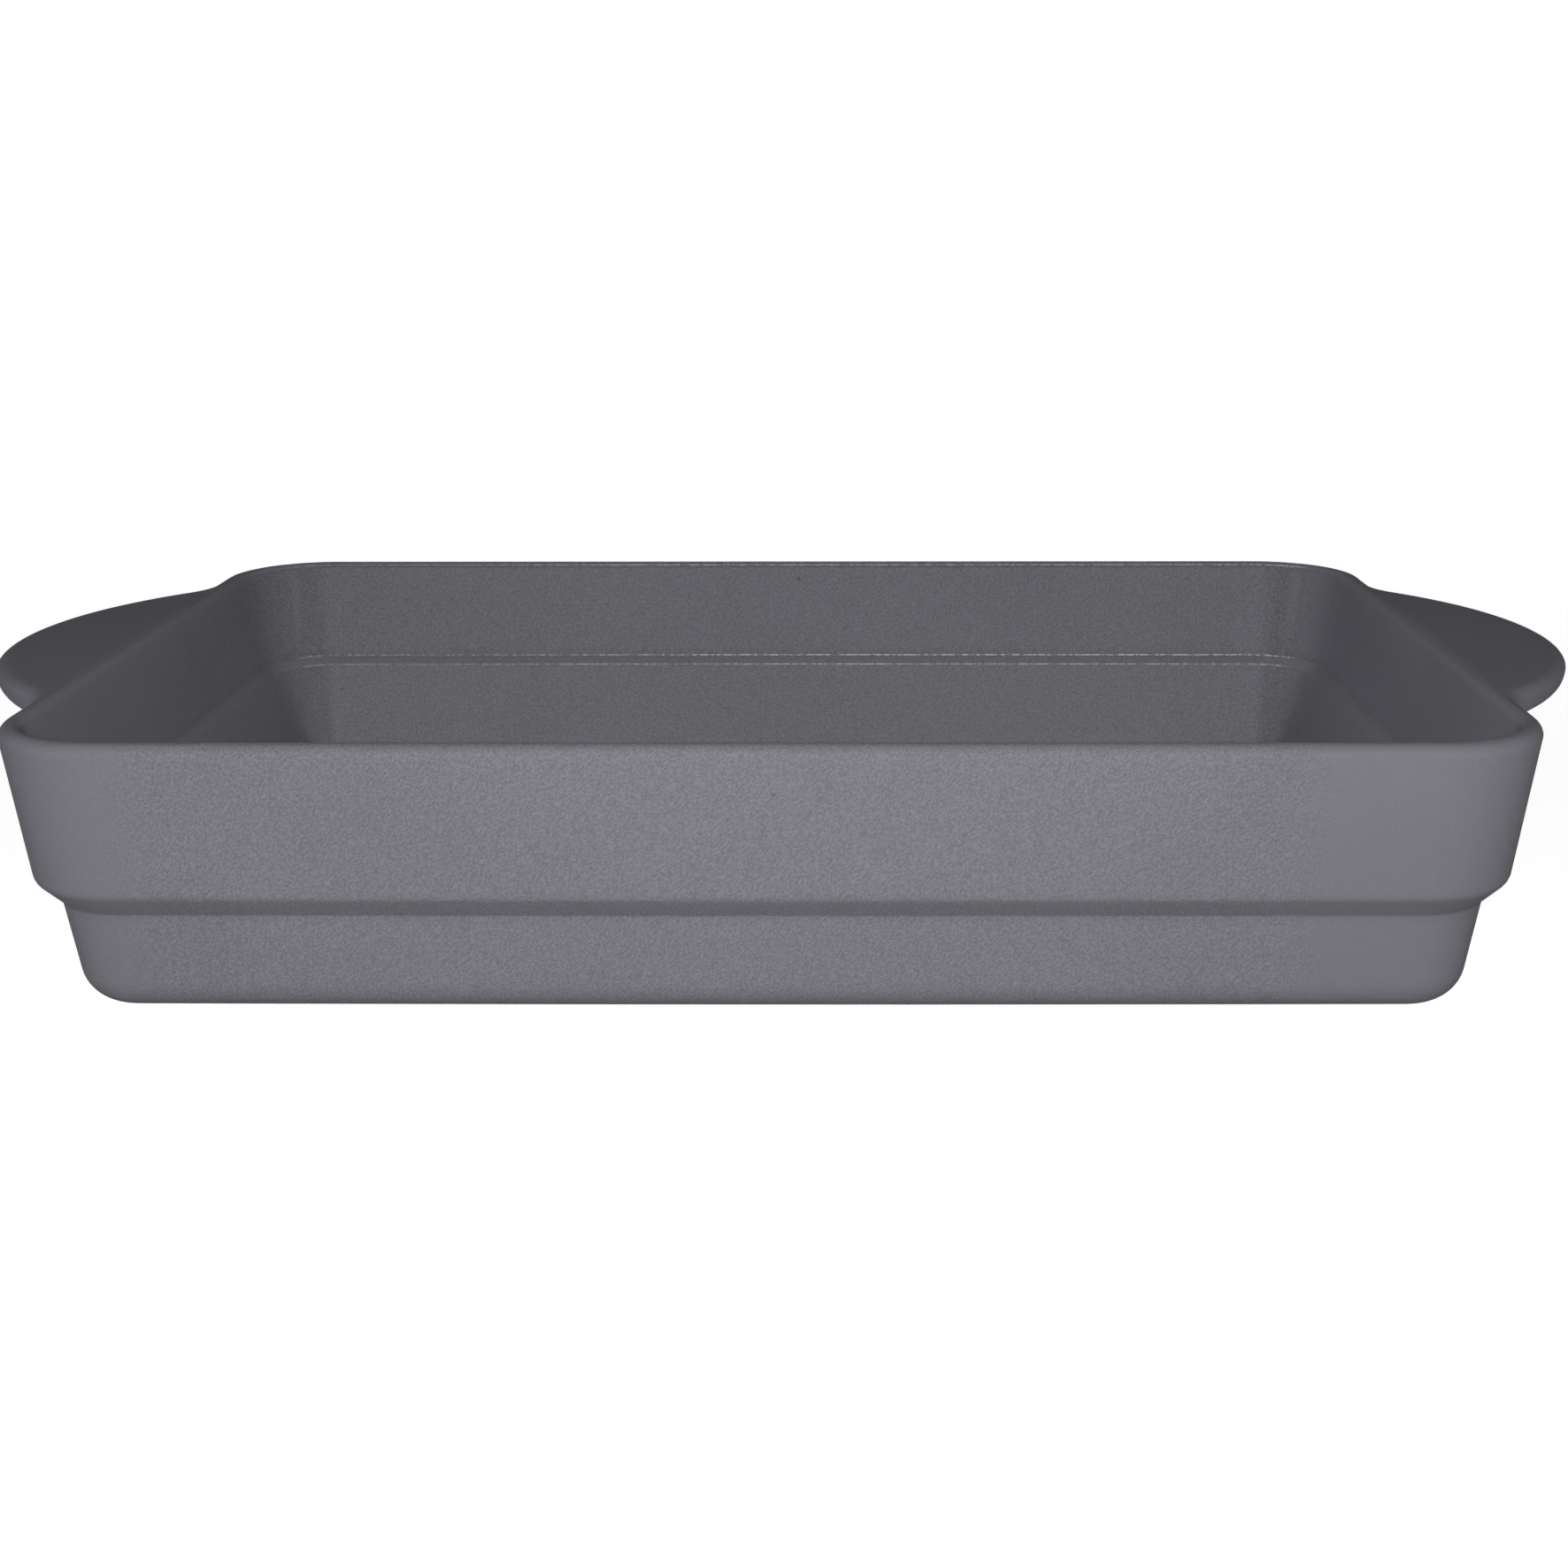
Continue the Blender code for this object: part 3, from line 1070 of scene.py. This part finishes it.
@dataclass(frozen=True)
class MattGlaze:
    """The matt grey glaze over the whole dish, with painted glints and painted shade. The grain's
    depth is in millimetres, and each tone is the share by which its effect darkens or varies the
    body's colour."""

    nodes: GlazeNodes = GlazeNodes()
    body: Triple = (0.212, 0.208, 0.231)
    # Pale colour of the painted glints.
    painted_glint_colour: Triple = (0.62, 0.61, 0.65)
    clay: Triple = (0.42, 0.37, 0.31)
    roughness: float = 0.8
    specular: float = 0.02
    grain_depth: float = 0.06
    grain_tone: float = 0.16
    drift_tone: float = 0.02
    # Painted shade in hollows and in the inner corners.
    hollow_shade: float = 0.08
    corner_shade: float = 0.2
    speck_tone: float = 0.5

    def material(self) -> bpy.types.Material:
        """Build the material.

        Returns:
            The glaze.
        """
        material = bpy.data.materials.new("matt_grey_glaze")
        material.use_nodes = True
        tree = material.node_tree
        shader = tree.nodes["Principled BSDF"]
        shader.inputs["Roughness"].default_value = self.roughness
        shader.inputs["Specular IOR Level"].default_value = self.specular

        grain = self.group(tree, self.nodes.grain())
        specks = self.group(tree, self.nodes.specks())
        drift = self.group(tree, self.nodes.drift())
        flow = self.group(tree, self.nodes.flow())
        tree.links.new(self.mask(tree, Mask.EDGE), flow.inputs["Edge"])
        tree.links.new(self.mask(tree, Mask.CORNER), flow.inputs["Corner"])

        tone = 1.0
        for effect, share in (
            (grain.outputs["Tone"], self.grain_tone),
            (drift.outputs["Drift"], self.drift_tone),
            # Painted shade: darker in hollows and in the inner corners.
            (self.mask(tree, Mask.HOLLOW), -self.hollow_shade),
            (flow.outputs["Corner Shade"], -self.corner_shade),
        ):
            tone = link_math(tree, "MULTIPLY_ADD", effect, share, tone)
        speckled = link_math(tree, "MULTIPLY_ADD", specks.outputs["Speck"], -self.speck_tone, 1.0)
        tone = link_math(tree, "MULTIPLY", tone, speckled)
        toned = tree.nodes.new("ShaderNodeVectorMath")
        toned.operation = "SCALE"
        toned.inputs[0].default_value = self.body
        tree.links.new(tone, toned.inputs["Scale"])
        # Painted glints: pale broken lines on the inner edges.
        paler = self.mix(tree, flow.outputs["Glint"], toned.outputs["Vector"], self.painted_glint_colour)
        wiped = self.mix(tree, self.mask(tree, Mask.FOOT), paler, self.clay)
        tree.links.new(wiped, shader.inputs["Base Color"])

        bump = tree.nodes.new("ShaderNodeBump")
        bump.inputs["Strength"].default_value = 1.0
        bump.inputs["Distance"].default_value = self.grain_depth * MM
        tree.links.new(grain.outputs["Height"], bump.inputs["Height"])
        tree.links.new(bump.outputs["Normal"], shader.inputs["Normal"])
        return material

    @staticmethod
    def group(tree: Tree, group: Tree) -> Node:
        """Place a node group in the material.

        Args:
            tree: The material's node tree.
            group: The group.

        Returns:
            Its node.
        """
        node = tree.nodes.new("ShaderNodeGroup")
        node.node_tree = group
        return node

    @staticmethod
    def mask(tree: Tree, mask: Mask) -> Socket:
        """Read one of the mesh's values.

        Args:
            tree: The material's node tree.
            mask: The value.

        Returns:
            The socket that carries it.
        """
        node = tree.nodes.new("ShaderNodeAttribute")
        node.attribute_name = mask.value
        return node.outputs["Fac"]

    @staticmethod
    def mix(tree: Tree, share: Socket, under: Socket, over: Triple) -> Socket:
        """Lay one colour over another.

        Args:
            tree: The node tree.
            share: How much of the upper colour shows.
            under: The colour below.
            over: The colour above.

        Returns:
            The mixed colour.
        """
        node = tree.nodes.new("ShaderNodeMix")
        node.data_type = "RGBA"
        node.inputs["B"].default_value = (*over, 1.0)
        tree.links.new(share, node.inputs["Factor"])
        tree.links.new(under, node.inputs["A"])
        return node.outputs["Result"]


@dataclass(frozen=True)
class PaleSweep:
    """The white studio sweep: it takes the dish's shadow and looks white behind it. Its glow
    grows with the distance from the dish, over a span in metres."""

    tone: float = 0.49
    glow_span: Point = (0.25, 0.9)
    glow: Point = (0.86, 1.0)

    def material(self) -> bpy.types.Material:
        """Build the material.

        Returns:
            The sweep's finish.
        """
        material = bpy.data.materials.new("pale_sweep")
        material.use_nodes = True
        tree = material.node_tree
        tree.nodes.clear()
        paint = tree.nodes.new("ShaderNodeBsdfDiffuse")
        paint.inputs["Color"].default_value = (self.tone, self.tone, self.tone, 1.0)
        reach = tree.nodes.new("ShaderNodeVectorMath")
        reach.operation = "LENGTH"
        tree.links.new(object_place(tree), reach.inputs[0])
        glow = link_range(tree, reach.outputs["Value"], self.glow_span, self.glow, eased=False)
        light = tree.nodes.new("ShaderNodeEmission")
        tree.links.new(glow, light.inputs["Strength"])
        both = tree.nodes.new("ShaderNodeAddShader")
        tree.links.new(paint.outputs[0], both.inputs[0])
        tree.links.new(light.outputs[0], both.inputs[1])
        choice = tree.nodes.new("ShaderNodeMixShader")
        tree.links.new(seen_directly(tree), choice.inputs["Fac"])
        tree.links.new(paint.outputs[0], choice.inputs[1])
        tree.links.new(both.outputs[0], choice.inputs[2])
        leave = tree.nodes.new("ShaderNodeOutputMaterial")
        tree.links.new(choice.outputs[0], leave.inputs["Surface"])
        return material


def seen_directly(tree: Tree) -> Socket:
    """Tell the rays that see the background from those that light the dish.

    Args:
        tree: The node tree that asks.

    Returns:
        A socket that is 1 for camera, glossy and transmission rays and 0 for the others.
    """
    path = tree.nodes.new("ShaderNodeLightPath").outputs
    mirrored = link_math(tree, "MAXIMUM", path["Is Camera Ray"], path["Is Glossy Ray"])
    return link_math(tree, "MAXIMUM", mirrored, path["Is Transmission Ray"])


@dataclass(frozen=True)
class SoftLamp:
    """A soft box that looks at one point, in metres and watts. It is square unless it has a
    depth, and a spread below 180 degrees narrows its beam. Gloss shows it if it is mirrored."""

    name: str
    place: Triple
    aim: Triple
    size: float
    power: float
    mirrored: bool = True
    tint: Triple = WHITE
    depth: float = 0.0
    spread: float = 180.0

    def hang(self) -> None:
        """Put the lamp in the scene."""
        lamp = bpy.data.lights.new(self.name, "AREA")
        lamp.shape = "RECTANGLE"
        lamp.size = self.size
        lamp.size_y = self.depth or self.size
        lamp.spread = math.radians(self.spread)
        lamp.energy = self.power
        lamp.color = self.tint
        holder = bpy.data.objects.new(self.name, lamp)
        bpy.context.scene.collection.objects.link(holder)
        holder.visible_camera = False
        holder.visible_glossy = self.mirrored
        holder.location = self.place
        gaze = Vector(self.aim) - Vector(self.place)
        holder.rotation_euler = gaze.to_track_quat("-Z", "Y").to_euler()


@dataclass
class Studio:
    """White sweep, one soft frontal key, far side fills, a low one behind the dish and a narrow
    one over the tray's floor, all in metres. The foot stands a hair above the sweep."""

    lamps: tuple[SoftLamp, ...] = (
        SoftLamp("key", (0.01, -0.73, 0.26), (0.0, -0.05, 0.04), 0.06, 3.8),
        SoftLamp("left_fill", (-3.0, -0.1, 0.57), (0.0, 0.0, 0.03), 0.5, 13.2, False, COOL_TINT),
        SoftLamp("right_fill", (3.0, -0.1, 0.57), (0.0, 0.0, 0.03), 0.5, 9.2, False, COOL_TINT),
        SoftLamp("back_fill", (0.0, 1.2, 0.12), (0.0, 0.0, 0.03), 0.24, 3.4, False),
        SoftLamp(
            "tray_fill", (0.0, 0.0, 0.45), (0.0, 0.0, 0.0), 0.25, 0.06, False, depth=0.15, spread=14.0
        ),
    )
    ambient: float = 0.03
    below_foot: float = 0.00005
    half_width: float = 4.0
    back: float = 3.0
    fold: float = 0.8
    fold_steps: int = 16

    def build(self) -> None:
        """Set up the sweep, the lamps and the world."""
        for lamp in self.lamps:
            lamp.hang()
        self.lay_sweep()
        self.light_world()

    def lay_sweep(self) -> None:
        """Model the sweep: a floor with its back edge folded up in a wide curve."""
        bpy.ops.object.select_all(action="DESELECT")
        middle = (0.0, self.back - self.half_width, -self.below_foot)
        bpy.ops.mesh.primitive_plane_add(size=2.0 * self.half_width, location=middle)
        sweep = bpy.context.object
        sweep.name = "studio_sweep"
        bpy.ops.object.transform_apply(location=True, rotation=True, scale=True)
        bpy.ops.object.mode_set(mode="EDIT")
        bpy.context.tool_settings.mesh_select_mode = (False, True, False)
        self.pick_back(sweep)
        rise = (0.0, 0.0, 2.0 * self.half_width)
        bpy.ops.mesh.extrude_region_move(TRANSFORM_OT_translate={"value": rise})
        self.pick_back(sweep)
        bpy.ops.mesh.bevel(offset=self.fold, segments=self.fold_steps, affect="EDGES")
        bpy.ops.object.mode_set(mode="OBJECT")
        bpy.ops.object.shade_smooth()
        sweep.data.materials.append(PaleSweep().material())

    def pick_back(self, sweep: bpy.types.Object) -> None:
        """Select the floor's back edge.

        Args:
            sweep: The sweep, in edit mode.
        """
        bpy.ops.mesh.select_all(action="DESELECT")
        shape = bmesh.from_edit_mesh(sweep.data)
        for edge in shape.edges:
            ends = [end.co for end in edge.verts]
            edge.select_set(all(abs(end.y - self.back) < HAIR and abs(end.z) < HAIR for end in ends))
        bmesh.update_edit_mesh(sweep.data)

    def light_world(self) -> None:
        """Give the world a weak even light that looks white behind the dish."""
        world = bpy.data.worlds.new("studio_air")
        bpy.context.scene.world = world
        world.use_nodes = True
        tree = world.node_tree
        tree.nodes.clear()
        air = tree.nodes.new("ShaderNodeBackground")
        air.inputs["Strength"].default_value = self.ambient
        white = tree.nodes.new("ShaderNodeBackground")
        choice = tree.nodes.new("ShaderNodeMixShader")
        tree.links.new(seen_directly(tree), choice.inputs["Fac"])
        for place, source in ((1, air), (2, white)):
            source.inputs["Color"].default_value = (*WHITE, 1.0)
            tree.links.new(source.outputs[0], choice.inputs[place])
        leave = tree.nodes.new("ShaderNodeOutputWorld")
        tree.links.new(choice.outputs[0], leave.inputs["Surface"])


@dataclass
class ViewCamera:
    """The camera at the photograph's viewing angle, in millimetres and degrees. What it sees
    lies between the nearest and the farthest, in metres."""

    place: Triple = (18.74, -552.15, 178.28)
    yaw: float = -0.353
    pitch: float = 15.59
    roll: float = -0.094
    lens: float = 49.56
    shift: float = -0.0370
    sensor: float = 36.0
    nearest: float = 0.02
    farthest: float = 60.0

    def set_up(self) -> None:
        """Add the camera and make it the scene's."""
        yaw, pitch, roll = (math.radians(angle) for angle in (self.yaw, self.pitch, self.roll))
        flat = math.cos(pitch)
        ahead = Vector((math.sin(yaw) * flat, math.cos(yaw) * flat, -math.sin(pitch)))
        level = Vector((math.cos(yaw), -math.sin(yaw), 0.0))
        above = level.cross(ahead)
        right = level * math.cos(roll) + above * math.sin(roll)
        up = above * math.cos(roll) - level * math.sin(roll)
        data = bpy.data.cameras.new("view_camera")
        data.sensor_width = self.sensor
        data.lens = self.lens
        data.shift_x = self.shift
        data.clip_start = self.nearest
        data.clip_end = self.farthest
        holder = bpy.data.objects.new("view_camera", data)
        bpy.context.scene.collection.objects.link(holder)
        turn = Matrix((right, up, -ahead)).transposed()
        holder.matrix_world = Matrix.Translation(Vector(self.place) * MM) @ turn.to_4x4()
        bpy.context.scene.camera = holder


def main() -> None:
    """Build the dish, dress it and set up the studio."""
    logging.basicConfig(level=logging.INFO)
    bpy.context.scene.view_settings.view_transform = "Standard"
    body = DishBody()
    dish = body.build()
    LOG.info("%s: %d faces", dish.name, len(dish.data.polygons))
    dish.data.materials.append(MattGlaze().material())
    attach(dish, "root")
    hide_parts("dish_tray", "left_handle", "right_handle")
    Studio().build()
    ViewCamera().set_up()


if __name__ == "__main__":
    main()
